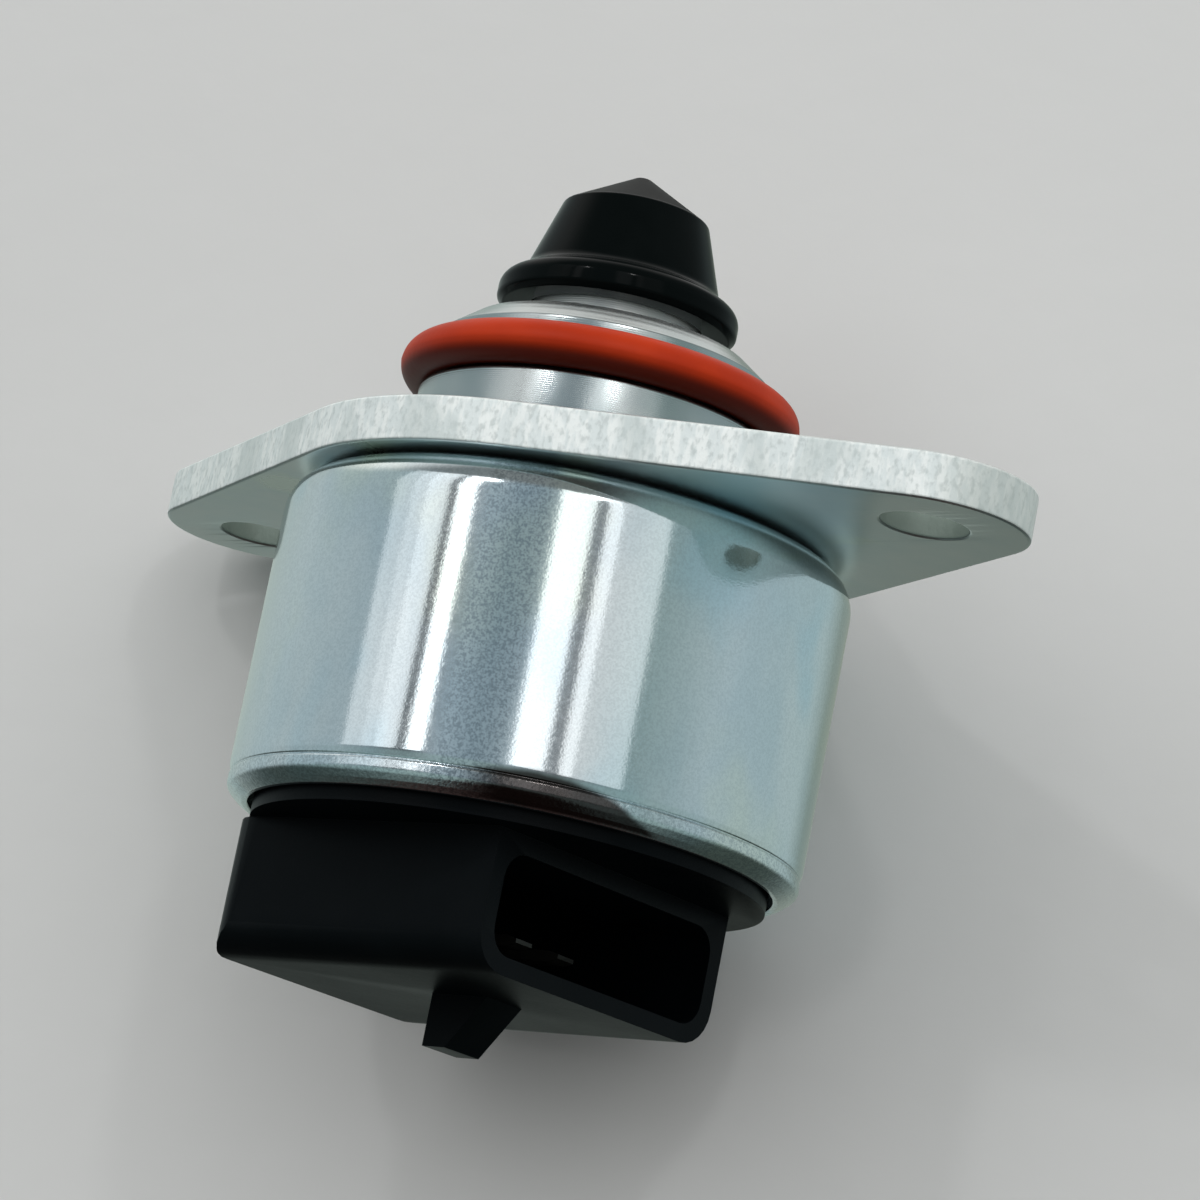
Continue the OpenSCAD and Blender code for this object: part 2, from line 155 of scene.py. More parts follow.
class ValveColours(bpy.types.PropertyGroup):
    """Base colours of the finishes."""

    can: colour("Can", "Zinc on the drawn can", (0.78, 0.83, 0.845))
    flange: colour("Flange", "Zinc on the flange", (0.80, 0.83, 0.815))
    turned: colour("Turned metal", "Pilot and bush", (0.47, 0.50, 0.495))
    ring: colour("Sealing ring", "Silicone rubber", (0.44, 0.029, 0.0012))
    pintle: colour("Pintle", "Glossy black plastic", (0.002, 0.0032, 0.0032))
    socket: colour("Socket", "Moulded black plastic", (0.0016, 0.0026, 0.0034))
    table: colour("Table", "Pale table top", (0.65, 0.657, 0.652))


# Shader maths

class Val:
    """One socket of a shader, so that sums on it read as Python and add their own Math nodes."""

    def __init__(self, graph, socket):
        self.graph = graph
        self.socket = socket

    def __add__(self, other):
        return self.graph.maths("ADD", self, other)

    def __sub__(self, other):
        return self.graph.maths("SUBTRACT", self, other)

    def __rsub__(self, other):
        return self.graph.maths("SUBTRACT", other, self)

    def __mul__(self, other):
        return self.graph.maths("MULTIPLY", self, other)

    def __truediv__(self, other):
        return self.graph.maths("DIVIDE", self, other)

    __radd__ = __add__
    __rmul__ = __mul__


class Graph:
    """A node tree that grows as expressions on its values are written."""

    def __init__(self, tree):
        self.tree = tree

    def link(self, value, socket):
        """Sets a socket to a number, a colour or another socket's value."""
        if isinstance(value, Val):
            self.tree.links.new(value.socket, socket)
        elif isinstance(value, tuple) and len(value) == 3 and len(socket.default_value) == 4:
            socket.default_value = (*value, 1.0)
        else:
            socket.default_value = value

    def node(self, kind, settings=None, inputs=None, out=0):
        """Adds one node: its settings first, then its sockets, and gives one of its outputs."""
        added = self.tree.nodes.new(kind)
        for name, value in (settings or {}).items():
            if name == "stops":
                ramp = added.color_ramp.elements
                while len(ramp) < len(value):
                    ramp.new(0.5)
                for element, (position, shade) in zip(ramp, value):
                    element.position = position
                    element.color = (*shade, 1.0)
            else:
                setattr(added, name, value)
        for name, value in (inputs or {}).items():
            self.link(value, added.inputs[name])
        return Val(self, added.outputs[out])

    def maths(self, operation, *terms):
        """One Math node."""
        return self.node("ShaderNodeMath", {"operation": operation}, dict(enumerate(terms)))

    def vector(self, operation, *terms, out=0):
        """One Vector Math node."""
        return self.node(
            "ShaderNodeVectorMath", {"operation": operation}, dict(enumerate(terms)), out)

    def blend(self, factor, shade_a, shade_b):
        """Mixes two colours."""
        return self.node(
            "ShaderNodeMix", {"data_type": "RGBA"}, {0: factor, 6: shade_a, 7: shade_b}, out=2)

    def step(self, value, start, end, low_out=0.0, high_out=1.0):
        """Smoothly from one number to another as a value goes from start to end."""
        return self.node("ShaderNodeMapRange", {"interpolation_type": "SMOOTHSTEP"}, {
            "Value": value, "From Min": start, "From Max": end,
            "To Min": low_out, "To Max": high_out})

    def noise(self, place, scale, detail=2.0, stretch=(1.0, 1.0, 1.0)):
        """A noise value at a place, with its grain stretched along an axis."""
        scaled = self.vector("MULTIPLY", place, stretch)
        return self.node(
            "ShaderNodeTexNoise", None, {"Vector": scaled, "Scale": scale, "Detail": detail})

    def split(self, place):
        """The x, y and z of a vector."""
        parts = self.tree.nodes.new("ShaderNodeSeparateXYZ")
        self.link(place, parts.inputs[0])
        return [Val(self, out) for out in parts.outputs]


class Look(Graph):
    """A material round one Principled shader."""

    def __init__(self, name, **settings):
        self.material = bpy.data.materials.new(name)
        self.material.use_nodes = True
        super().__init__(self.material.node_tree)
        self.shader = self.tree.nodes["Principled BSDF"]
        coordinates = self.tree.nodes.new("ShaderNodeTexCoord")
        self.place = Val(self, coordinates.outputs["Object"])
        self.facing = Val(self, coordinates.outputs["Normal"])
        for word, value in settings.items():
            self.shader.inputs[word.replace("_", " ")].default_value = value

    def set(self, socket, value):
        """Feeds one of the shader's sockets."""
        self.link(value, self.shader.inputs[socket])

    def bump(self, height, distance):
        """Turns a height on the surface into the shader's normal."""
        self.set(
            "Normal", self.node("ShaderNodeBump", None, {"Height": height, "Distance": distance}))


def tinted(shade, *factors):
    """A colour times a number or times one number for each channel."""
    factors = factors if len(factors) == 3 else factors * 3
    return tuple(min(1.0, part * factor) for part, factor in zip(shade, factors))


def zinc_can(shades, sizes):
    """Zinc on drawn steel: crisp reflections, fine grain, blue and straw clouds and a dull rim."""
    look = Look("zinc_can", Metallic=1.0)
    x, y, z = look.split(look.place)
    clouds = look.noise(look.place, 150.0, 3.0, (1.0, 1.0, 0.5))
    stain = look.noise(look.place, 75.0, 3.0, (1.0, 1.0, 0.7))
    lines = look.noise(look.place, 1500.0, 2.0, (1.0, 1.0, 0.03))
    grain = look.noise(look.place, 4200.0, 2.0)
    fine = look.noise(look.place, 7500.0, 1.0)
    wide = outer_radius("motor_can")
    crease = low("motor_can") + sizes.rim_height
    rim = look.step(z, crease + 0.25 * MM, crease - 0.1 * MM)
    base = tuple(shades.can)
    blue, straw = tinted(base, 0.80, 0.93, 1.0), tinted(base, 1.0, 1.0, 0.88)
    tone = look.blend(look.step(clouds, 0.36, 0.66), tinted(base, 0.86, 0.91, 0.94), base)
    tone = look.blend(look.step(stain, 0.53, 0.64, 0.0, 0.9), tone, blue)
    tone = look.blend(look.step(stain, 0.45, 0.34, 0.0, 0.7), tone, straw)
    yellowed = look.step(x, -0.45 * wide, -0.95 * wide, 0.0, 0.7)
    tone = look.blend(yellowed, tone, tinted(base, 0.98, 1.0, 0.86))

    # Painted dark reflection: a dark lens painted on the front of the rim, which leaves the
    # rolled-in part of the rim bare
    dark_reflection_middle, dark_reflection_curve, dark_reflection_wobble = 0.5 * MM, 0.036 / MM, 1.1 * MM
    across = x * math.cos(VIEW_HEADING) + y * math.sin(VIEW_HEADING) - dark_reflection_middle
    facing = x * math.sin(VIEW_HEADING) - y * math.cos(VIEW_HEADING)
    over = z - low("motor_can") - sizes.dark_reflection_height
    over = over + across * across * dark_reflection_curve + (clouds - 0.5) * dark_reflection_wobble
    dark_reflection = look.step(over, 0.2 * MM, -0.3 * MM) * look.step(facing, 0.4 * wide, 0.6 * wide)
    dark_reflection = dark_reflection * look.step(across, -5.0 * MM, -1.5 * MM)
    from_axis = x * x + y * y
    dark_reflection = dark_reflection * look.step(from_axis, (wide - 1.15 * MM) ** 2, (wide - 0.85 * MM) ** 2)

    # Grey flecks of the plating, plainest on the rim, and deepened in a strip down the front as a
    # painted dark reflection band
    dark_band_middle = 3.75 * MM
    fleck = look.step(grain * 0.45 + fine * 0.55, 0.38, 0.60)
    dark_band = look.step(look.maths("ABSOLUTE", across + dark_band_middle), 2.2 * MM, 1.5 * MM)
    dark_band = dark_band * look.step(facing, 0.0, wide)
    depth = 0.20 + rim * 0.35 + dark_band * 0.50
    flecked = look.blend(depth, tone, tinted(base, 0.45, 0.48, 0.5))
    tone = look.blend(fleck, flecked, tone)
    # The colour of the painted dark reflection on the rim
    dark_reflection_colour = (0.040, 0.028, 0.024)
    look.set("Base Color", look.blend(dark_reflection * 0.93, tone, dark_reflection_colour))
    look.set("Roughness", 0.055 + clouds * 0.03 + grain * 0.06 + rim * 0.10)
    relief = fine * 0.13 + grain * (0.10 + rim * 0.8) + lines * 0.03 + clouds * 0.12
    look.bump(relief, 0.014 * MM)
    return look.material


def zinc_sheet(shades, hole_x, hole):
    """Zinc on sheared plate: soft clouded faces, and matt edges with fine specks and streaks."""
    look = Look("zinc_sheet")
    x, y = look.split(look.place)[:2]
    nx, nz = look.split(look.facing)[::2]
    edge = look.step(look.maths("ABSOLUTE", nz), 0.85, 0.5)
    streak = look.noise(look.place, 1900.0, 3.0, (1.0, 1.0, 0.28))
    speck = look.noise(look.place, 3300.0, 2.0, (1.0, 1.0, 0.6))
    broad = look.noise(look.place, 230.0, 3.0, (1.0, 1.0, 0.5))
    grain = look.noise(look.place, 3600.0, 2.0)
    clouds = look.noise(look.place, 120.0, 3.0)
    base = tuple(shades.flange)
    face = look.blend(look.step(clouds, 0.35, 0.68), tinted(base, 0.84, 0.90, 0.92), base)
    straw = look.step(clouds, 0.45, 0.30, 0.0, 0.6)
    face = look.blend(straw, face, tinted(base, 0.98, 1.0, 0.88))

    pale, bright = tinted(base, 0.98, 1.01, 1.02), tinted(base, 1.14)
    side = look.blend(look.step(streak, 0.42, 0.58), pale, bright)
    specks = look.step(speck, 0.46, 0.72, 0.0, 0.55)
    side = look.blend(specks, side, tinted(base, 0.60, 0.64, 0.64))
    patches = look.step(broad, 0.50, 0.64, 0.0, 0.6)
    side = look.blend(patches, side, tinted(base, 0.72, 0.77, 0.77))
    # Painted shade: the sheared edge is darker along the left wing and where it faces along +x
    shaded_wing = look.step(x, -4.0 * MM, -18.0 * MM, 0.0, 0.16)
    side = look.blend(shaded_wing, side, tinted(base, 0.52, 0.60, 0.57))
    shaded_end = look.step(nx, 0.5, 0.95, 0.0, 0.5)
    side = look.blend(shaded_end, side, tinted(base, 0.60, 0.64, 0.61))
    # Painted shade on the walls of the bolt holes
    from_hole = look.maths("ABSOLUTE", x) - hole_x
    from_hole = look.maths("SQRT", from_hole * from_hole + y * y)
    shaded_hole_wall = look.step(from_hole, hole + 0.4 * MM, hole + 0.2 * MM)
    side = look.blend(shaded_hole_wall, side, tinted(base, 0.36, 0.42, 0.38))
    look.set("Base Color", look.blend(edge, face, side))
    look.set("Metallic", 1.0 - edge * 0.65)
    look.set("Roughness", 0.24 + clouds * 0.10 + edge * (0.18 + streak * 0.12))
    sheared = edge * (streak * 1.2 + speck * 0.7 + broad * 0.8)
    look.bump(sheared + grain * 0.3 + clouds * 0.5, 0.03 * MM)
    return look.material


def turned_metal(name, shade, dull=0.0, metallic=1.0):
    """A bright turned surface with fine tool rings round its axis."""
    look = Look(name, Metallic=metallic)
    pitch = 0.13 * MM
    x, y, z = look.split(look.place)
    radius = look.maths("SQRT", x * x + y * y)
    rings = look.maths("SINE", (z + radius) * (2.0 * math.pi / pitch))
    drift = look.noise(look.place, 240.0, 2.0)
    grain = look.noise(look.place, 3800.0, 2.0)
    shade = tuple(shade)
    clouded = tinted(shade, 0.86, 0.90, 0.91)
    look.set("Base Color", look.blend(look.step(drift, 0.35, 0.65), clouded, shade))
    look.set("Roughness", 0.17 + dull + drift * 0.08 + grain * 0.05)
    look.bump(rings * 0.25 + grain * 0.35 + drift * 0.9, 0.010 * MM)
    return look.material


def steel(name, shade, roughness=0.32, tint=0.85):
    """Plain stamped or ground steel with a soft grain."""
    look = Look(name, Metallic=1.0)
    grain = look.noise(look.place, 2600.0, 3.0)
    clouds = look.noise(look.place, 240.0, 2.0)
    look.set("Base Color", look.blend(look.step(clouds, 0.3, 0.7), tinted(shade, tint), shade))
    look.set("Roughness", roughness - 0.05 + clouds * 0.10 + grain * 0.05)
    look.bump(grain + clouds, 0.01 * MM)
    return look.material


def silicone(shades):
    """Orange-red silicone: satin, a little uneven, with painted shade on the side that faces down.
    """
    look = Look("silicone_ring", Specular_IOR_Level=0.12)
    clouds = look.noise(look.place, 190.0, 3.0)
    grain = look.noise(look.place, 2600.0, 2.0)
    base = tuple(shades.ring)
    # Painted shade: darker where the surface faces down
    painted_underside_shade = look.step(look.split(look.facing)[2], 0.0, -0.7)
    tone = look.blend(look.step(clouds, 0.35, 0.7), tinted(base, 0.84, 0.76, 0.76), base)
    look.set("Base Color", look.blend(painted_underside_shade, tone, tinted(base, 0.16)))
    look.set("Roughness", 0.34 + clouds * 0.14 + grain * 0.06)
    look.bump(grain * 0.4 + clouds, 0.02 * MM)
    return look.material


def moulded(name, shade, roughness, level=0.5, peel=1.0, nose=None):
    """Moulded plastic with a faint orange peel and pale dust, and a rubbed nose above a height."""
    look = Look(name, Specular_IOR_Level=level)
    skin = look.noise(look.place, 600.0, 2.0)
    grain = look.noise(look.place, 4800.0, 2.0)
    clouds = look.noise(look.place, 150.0, 3.0)
    shade = tuple(shade)
    dusty = tuple(part * 1.3 + 0.001 for part in shade)
    tone = look.blend(look.step(clouds, 0.42, 0.8), shade, dusty)
    dull = roughness + clouds * 0.08 + grain * 0.05
    if nose:
        z = look.split(look.place)[2]
        rubbed = look.step(z, nose - 0.05 * MM, nose + 0.15 * MM) * (0.75 + clouds * 0.5)
        worn_shade = (0.007, 0.008, 0.0078)
        tone = look.blend(rubbed, tone, worn_shade)
        dull = dull + rubbed * 0.35
    look.set("Base Color", tone)
    look.set("Roughness", dull)
    look.bump(skin * 0.5 * peel + grain * 0.3 * peel, 0.02 * MM)
    return look.material


def wound_wire():
    """Enamelled copper wire with a slight change of tone from turn to turn."""
    look = Look("enamel_wire", Metallic=0.85, Coat_Weight=0.6)
    turns = look.noise(look.place, 900.0, 2.0, (0.2, 0.2, 1.0))
    look.set("Base Color", look.blend(turns, (0.42, 0.14, 0.05), (0.66, 0.27, 0.10)))
    look.set("Roughness", 0.26 + turns * 0.12)
    look.bump(turns, 0.01 * MM)
    return look.material


# Meshes

def rounded(points, steps=6):
    """A closed outline of (r, z, radius) points with its corners turned into circular arcs."""
    count = len(points)
    outline = []
    for i, (r, z, radius) in enumerate(points):
        corner = Vector((r, z))
        if radius <= 0.0:
            outline.append(tuple(corner))
            continue
        back = Vector(points[i - 1][:2]) - corner
        forth = Vector(points[(i + 1) % count][:2]) - corner
        opening = back.angle(forth)
        reach = min(radius / math.tan(opening / 2), 0.49 * back.length, 0.49 * forth.length)
        start = corner + back.normalized() * reach
        end = corner + forth.normalized() * reach
        weight = math.sin(opening / 2)
        for k in range(steps + 1):
            t = k / steps
            parts = ((1 - t) ** 2, 2 * t * (1 - t) * weight, t * t)
            point = start * parts[0] + corner * parts[1] + end * parts[2]
            outline.append(tuple(point / sum(parts)))
    return outline


def mesh_of(name, bm):
    """Turns finished mesh code into a mesh with its faces outward."""
    bmesh.ops.recalc_face_normals(bm, faces=bm.faces)
    mesh = bpy.data.meshes.new(name)
    bm.to_mesh(mesh)
    bm.free()
    return mesh


def skin(name, rings, closed_round=True):
    """A solid from rings of points, each joined to the next; a ring of one point closes an end."""
    bm = bmesh.new()
    placed = [[bm.verts.new(point) for point in ring] for ring in rings]
    pairs = list(zip(placed, placed[1:]))
    if closed_round:
        pairs.append((placed[-1], placed[0]))
    for ring, following in pairs:
        count = max(len(ring), len(following))
        for i in range(count if count > 1 else 0):
            j = (i + 1) % count
            corners = (ring[i % len(ring)], ring[j % len(ring)],
                       following[j % len(following)], following[i % len(following)])
            bm.faces.new(list(dict.fromkeys(corners)))
    return mesh_of(name, bm)


def lathe(name, outline, segments, flat=None):
    """A solid turned about Z from a closed outline of (radius, height) points.

    A flat of (radius, half width) cuts two flats into all that lies within that radius."""
    on_axis = 1e-7
    rings = []
    for r, z in outline:
        if r < on_axis:
            rings.append([(0.0, 0.0, z)])
            continue
        ring = []
        for i in range(segments):
            a = 2 * math.pi * i / segments
            reach = r
            if flat and r <= flat[0] and abs(math.sin(a)) * r > flat[1]:
                reach = flat[1] / abs(math.sin(a))
            ring.append((reach * math.cos(a), reach * math.sin(a), z))
        rings.append(ring)
    return skin(name, rings)


def piece(name, mesh, body, material, nodes, sharp=32.0):
    """Shows a mesh as a piece: smooth up to a sharp angle, with its finish, body and nodes."""
    shown = bpy.data.objects.new(name, mesh)
    bpy.context.scene.collection.objects.link(shown)
    mesh.shade_smooth()
    mesh.set_sharp_from_angle(angle=math.radians(sharp))
    mesh.materials.clear()
    mesh.materials.append(material)
    if body:
        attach(shown, body)
    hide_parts(*nodes)
    return shown


def arc(centre, radius, start, end, steps):
    """Points on an arc in the plane, angles in degrees."""
    turns = [math.radians(start + (end - start) * i / steps) for i in range(steps + 1)]
    return [(centre[0] + radius * math.cos(a), centre[1] + radius * math.sin(a)) for a in turns]


def plate(name, outlines, bottom, top, edge):
    """A flat plate with holes and rounded edges; the first outline is its outside."""
    curve = bpy.data.curves.new(name, "CURVE")
    curve.dimensions = "2D"
    curve.fill_mode = "BOTH"
    for outline in outlines:
        spline = curve.splines.new("POLY")
        spline.points.add(len(outline) - 1)
        for point, (x, y) in zip(spline.points, outline):
            point.co = (x, y, 0.0, 1.0)
        spline.use_cyclic_u = True
    curve.bevel_depth = edge
    curve.offset = -edge
    curve.bevel_resolution = 3
    curve.extrude = (top - bottom) / 2 - edge
    holder = bpy.data.objects.new(name, curve)
    bpy.context.scene.collection.objects.link(holder)
    holder.location.z = (top + bottom) / 2
    bpy.context.view_layer.update()
    evaluated = holder.evaluated_get(bpy.context.evaluated_depsgraph_get())
    mesh = bpy.data.meshes.new_from_object(evaluated)
    mesh.transform(holder.matrix_world)
    bpy.data.objects.remove(holder)
    bm = bmesh.new()
    bm.from_mesh(mesh)
    weld = 0.001 * MM
    bmesh.ops.remove_doubles(bm, verts=bm.verts, dist=weld)
    bpy.data.meshes.remove(mesh)
    return mesh_of(name, bm)


def finish_node(material, *nodes):
    """Gives CAD nodes that stay in view their finish."""
    for node in nodes:
        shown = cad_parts[node]
        shown.data.materials.clear()
        shown.data.materials.append(material)


# Operators

class ValveOperator(bpy.types.Operator):
    """Shared access to the settings."""

    bl_options = {"REGISTER"}

    @property
    def sizes(self):
        return bpy.context.scene.valve_sizes

    @property
    def colours(self):
        return bpy.context.scene.valve_colours


class VALVE_OT_can(ValveOperator):
    """Draws the motor can with its rounded corner, the crease and the rolled rim."""

    bl_idname = "valve.make_can"
    bl_label = "Motor can"

    def execute(self, context):
        s = self.sizes
        r, top, bottom = outer_radius("motor_can"), high("motor_can"), low("motor_can")
        wall, seat = s.can_wall, low("motor_can") + s.can_wall
        bore = s.pilot + 0.02 * MM
        crease = bottom + s.rim_height
        outline = rounded([
            (bore, top - wall, 0.0),
            (bore, top, s.edge),
            (r, top, s.can_corner),
            (r, crease + 0.5 * MM, 1.2 * MM),
            (r - s.rim_neck, crease + s.rim_crease, 0.12 * MM),
            (r - s.rim_neck - s.rim_crease, crease, 0.05 * MM),
            (r - 0.5 * s.rim_neck, crease - 2 * s.rim_crease, 0.3 * MM),
            (r - 0.5 * s.rim_neck, bottom + 0.75 * MM, 0.5 * MM),
            (r - 0.4 * s.rim_width, bottom + 0.3 * MM, 0.4 * MM),
            (r - 0.75 * s.rim_width, bottom, 0.3 * MM),
            (r - s.rim_width, bottom, 0.12 * MM),
            (r - s.rim_width, seat, 0.0),
            (r - wall, seat, 0.0),
            (r - wall, top - wall, s.can_corner - wall),
        ], steps=10)
        piece("drawn_can", lathe("drawn_can", outline, s.segments), "valve_housing",
              zinc_can(self.colours, s), ["motor_can"])
        return {"FINISHED"}


class VALVE_OT_flange(ValveOperator):
    """Cuts the mounting flange with its holes and softened edges."""

    bl_idname = "valve.make_flange"
    bl_label = "Mounting flange"

    def execute(self, context):
        s = self.sizes
        half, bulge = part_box("mounting_flange")[1].x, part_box("mounting_flange")[1].y
        lobe, hole_x = s.lobe, half - s.lobe
        lean = math.degrees(math.acos((bulge - lobe) / hole_x))
        outside = arc((hole_x, 0.0), lobe, -lean, lean, 40)
        outside += arc((0.0, 0.0), bulge, lean, 180 - lean, 40)
        outside += arc((-hole_x, 0.0), lobe, 180 - lean, 180 + lean, 40)
        outside += arc((0.0, 0.0), bulge, 180 + lean, 360 - lean, 40)
        holes = [arc((x, 0.0), s.hole, 0, 360, 64)[:-1] for x in (-hole_x, hole_x)]
        middle = arc((0.0, 0.0), s.pilot + 0.02 * MM, 0, 360, 128)[:-1]
        mesh = plate("flange_plate", [outside, middle, *holes],
                     low("mounting_flange"), high("mounting_flange"), s.sheet_edge)
        finish = zinc_sheet(self.colours, hole_x, s.hole)
        shown = piece(
            "flange_plate", mesh, "valve_housing", finish, ["mounting_flange"])
        flat = shown.modifiers.new("flat_faces", "WEIGHTED_NORMAL")
        flat.keep_sharp = True
        flat.weight = 100
        return {"FINISHED"}


class VALVE_OT_pilot(ValveOperator):
    """Turns the pilot, the bush in it and its sealing ring."""

    bl_idname = "valve.make_pilot"
    bl_label = "Pilot, bush and ring"

    def execute(self, context):
        s = self.sizes
        metal = turned_metal("turned_pilot", self.colours.turned)
        ring_low, ring_high = low("pilot_o_ring"), high("pilot_o_ring")
        section = (ring_high - ring_low) / 2
        middle = (ring_high + ring_low) / 2
        play, fit, foot = 0.15 * MM, 0.02 * MM, 0.4 * MM
        base, base_r = low("pilot_housing"), outer_radius("pilot_housing")
        cover = low("mounting_flange") - s.can_wall
        pocket, race = high("bearing_outer_race"), outer_radius("bearing_outer_race")
        shank = low("guide_bush")
        relief = outer_radius("bearing_inner_race") + 0.2 * MM
        relief_in = s.shank + fit
        outline = rounded([
            (relief_in, high("pilot_housing"), s.edge),
            (relief_in, shank, 0.0),
            (relief, shank, 0.0),
            (relief, pocket, 0.0),
            (race + fit, pocket, 0.0),
            (race + fit, base, 0.0),
            (base_r, base, s.edge),
            (base_r, cover, s.edge),
            (s.pilot, cover, 0.0),
            (s.pilot, 0.0, 0.0),
            (s.pilot - s.undercut, 0.0, 0.0),
            (s.pilot - s.undercut, foot, 0.1 * MM),
            (s.pilot, foot, s.edge),
            (s.pilot, middle - section - play, s.edge),
            (s.ring_groove, middle - section - play, 0.2 * MM),
            (s.ring_groove, middle + section + play, 0.2 * MM),
            (s.pilot_collar, middle + section + play, 0.5 * s.edge),
            (s.pilot_collar, s.pilot_height, s.edge),
            (s.pilot_cone, high("pilot_housing"), 0.4 * MM),
        ], steps=5)
        piece("turned_pilot", lathe("turned_pilot", outline, s.segments), "valve_housing",
              metal, ["pilot_housing"])
        # Painted light: the bush takes a paler copy of the turned metal, so that the neck in the
        # skirt's shade reads bright
        painted_light_tone = tinted(self.colours.turned, 1.80, 1.70, 1.66)
        bush = turned_metal("turned_bush", painted_light_tone, dull=0.12, metallic=0.6)
        head_low, head_high = high("pilot_housing"), high("guide_bush")
        head = outer_radius("guide_bush")
        bore, seat = s.screw + 0.05 * MM, low("pintle") - s.play
        outline = rounded([
            (bore, seat, 0.15 * MM),
            (bore, shank, 0.1 * MM),
            (s.shank, shank, 0.2 * MM),
            (s.shank, head_low, 0.0),
            (head, head_low, 0.1 * MM),
            (head, head_high, 0.25 * MM),
            (s.spring_seat, head_high, 0.2 * MM),
            (s.spring_seat, seat, 0.1 * MM),
        ], steps=5)
        flat = (bore + 0.3 * MM, s.screw_flat + 0.05 * MM)
        piece("turned_bush", lathe("turned_bush", outline, s.segments, flat), "valve_housing",
              bush, ["guide_bush"])
        orbit = outer_radius("pilot_o_ring") - section
        flash, sides = 0.02 * MM, 48
        outline = []
        for i in range(sides):
            a = 2 * math.pi * i / sides
            reach = section - (0.0 if i % (sides // 2) == 0 else flash)
            outline.append((orbit + reach * math.cos(a), middle + section * math.sin(a)))
        piece("sealing_ring", lathe("sealing_ring", outline, s.segments), "valve_housing",
              silicone(self.colours), ["pilot_o_ring"], 60.0)
        return {"FINISHED"}


class VALVE_OT_pintle(ValveOperator):
    """Turns the pintle, cuts the lead screw's thread and winds the return spring."""

    bl_idname = "valve.make_pintle"
    bl_label = "Pintle, screw and spring"

    def execute(self, context):
        s = self.sizes
        rim, tip = low("pintle"), high("pintle")
        tall, skirt = tip - rim, outer_radius("pintle")
        roof, grip = rim + s.cavity_height, high("lead_screw")
        mouth, mouth_top = outer_radius("guide_bush") + s.play, high("guide_bush") + s.play
        shoulder, waist_height = rim + 0.724 * tall, rim + 0.245 * tall
        outline = rounded([
            (0.0, tip, 0.0),
            (0.5 * MM, tip - 0.15 * MM, 0.4 * MM),
            (s.crown, shoulder, 0.3 * MM),
            (s.waist, waist_height, 1.1 * MM),
            (skirt, rim + 1.61 * MM, s.flare),
            (skirt, rim + 0.35 * MM, 0.35 * MM),
            (skirt - 0.4 * MM, rim, 0.2 * MM),
            (mouth, rim, 0.15 * MM),
            (mouth, mouth_top, 0.15 * MM),
            (s.cavity, mouth_top, 0.1 * MM),
            (s.cavity, roof, 0.4 * MM),
            (s.screw, roof, 0.0),
            (s.screw, grip, 0.0),
            (0.0, grip, 0.0),
        ], steps=8)
        outline = [point for i, point in enumerate(outline) if i == 0 or point != outline[i - 1]]
        flat = (s.screw + 0.01 * MM, s.screw_flat)
        gloss = moulded("pintle_plastic", self.colours.pintle, 0.06, 0.04, 0.2, shoulder)
        piece("moulded_pintle", lathe("moulded_pintle", outline, s.segments, flat), "plunger",
              gloss, ["pintle"], 50.0)
        self.screw(roof)
        self.spring(roof)
        return {"FINISHED"}

    def screw(self, roof):
        """The thread runs below the pintle; the end that the pintle grips is plain."""
        s = self.sizes
        bottom, top = low("lead_screw"), high("lead_screw")
        around_steps, per_turn = 64, 12
        thread_end, run_out, chamfer = roof - 0.6 * MM, 0.8 * MM, 0.35 * MM
        groove_share = 0.8
        rings = [[(0.0, 0.0, bottom)]]
        step = s.thread_lead / per_turn
        heights = [bottom + step * i for i in range(int((top - bottom) / step) + 1)]
        if top - heights[-1] > 0.2 * step:
            heights.append(top)
        for z in heights:
            cut = min(1.0, max(0.0, (thread_end - z) / run_out))
            ring = []
            for i in range(around_steps):
                a = 2 * math.pi * i / around_steps
                phase = (z / s.thread_lead - a / (2 * math.pi)) % 1.0
                groove = max(0.0, 1.0 - abs(phase - 0.5) * 2 / groove_share)
                r = s.screw - s.thread_depth * groove * cut
                if z - bottom < chamfer:
                    r = min(r, s.screw - chamfer + (z - bottom))
                if abs(math.sin(a)) * r > s.screw_flat:
                    r = s.screw_flat / abs(math.sin(a))
                ring.append((r * math.cos(a), r * math.sin(a), z))
            rings.append(ring)
        rings.append([(0.0, 0.0, top)])
        piece("threaded_screw", skin("threaded_screw", rings, closed_round=False), "plunger",
              steel("screw_steel", (0.62, 0.63, 0.64), 0.24), ["lead_screw"], 28.0)

    def spring(self, roof):
        """A round wire coil from the spring seat up to the roof of the pintle's hollow."""
        s = self.sizes
        floor = low("pintle") - s.play
        wire = s.spring_wire / 2
        orbit = outer_radius("pintle_spring") - wire
        turns, per_turn, sides = 5, 48, 12
        count = turns * per_turn
        rings = []
        for i in range(count + 1):
            a = 2 * math.pi * i / per_turn
            z = floor + wire + (roof - floor - 2 * wire) * i / count
            ring = []
            for k in range(sides):
                b = 2 * math.pi * k / sides
                r = orbit + wire * math.cos(b)
                ring.append((r * math.cos(a), r * math.sin(a), z + wire * math.sin(b)))
            rings.append(ring)
        first, last = ([tuple(sum(axis) / sides for axis in zip(*ring))]
                       for ring in (rings[0], rings[-1]))
        wound = skin("wound_spring", [first, *rings, last], closed_round=False)
        coil = piece("wound_spring", wound, None,
                     steel("spring_wire", (0.50, 0.51, 0.52), 0.25), ["pintle_spring"], 50.0)
        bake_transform(coil)


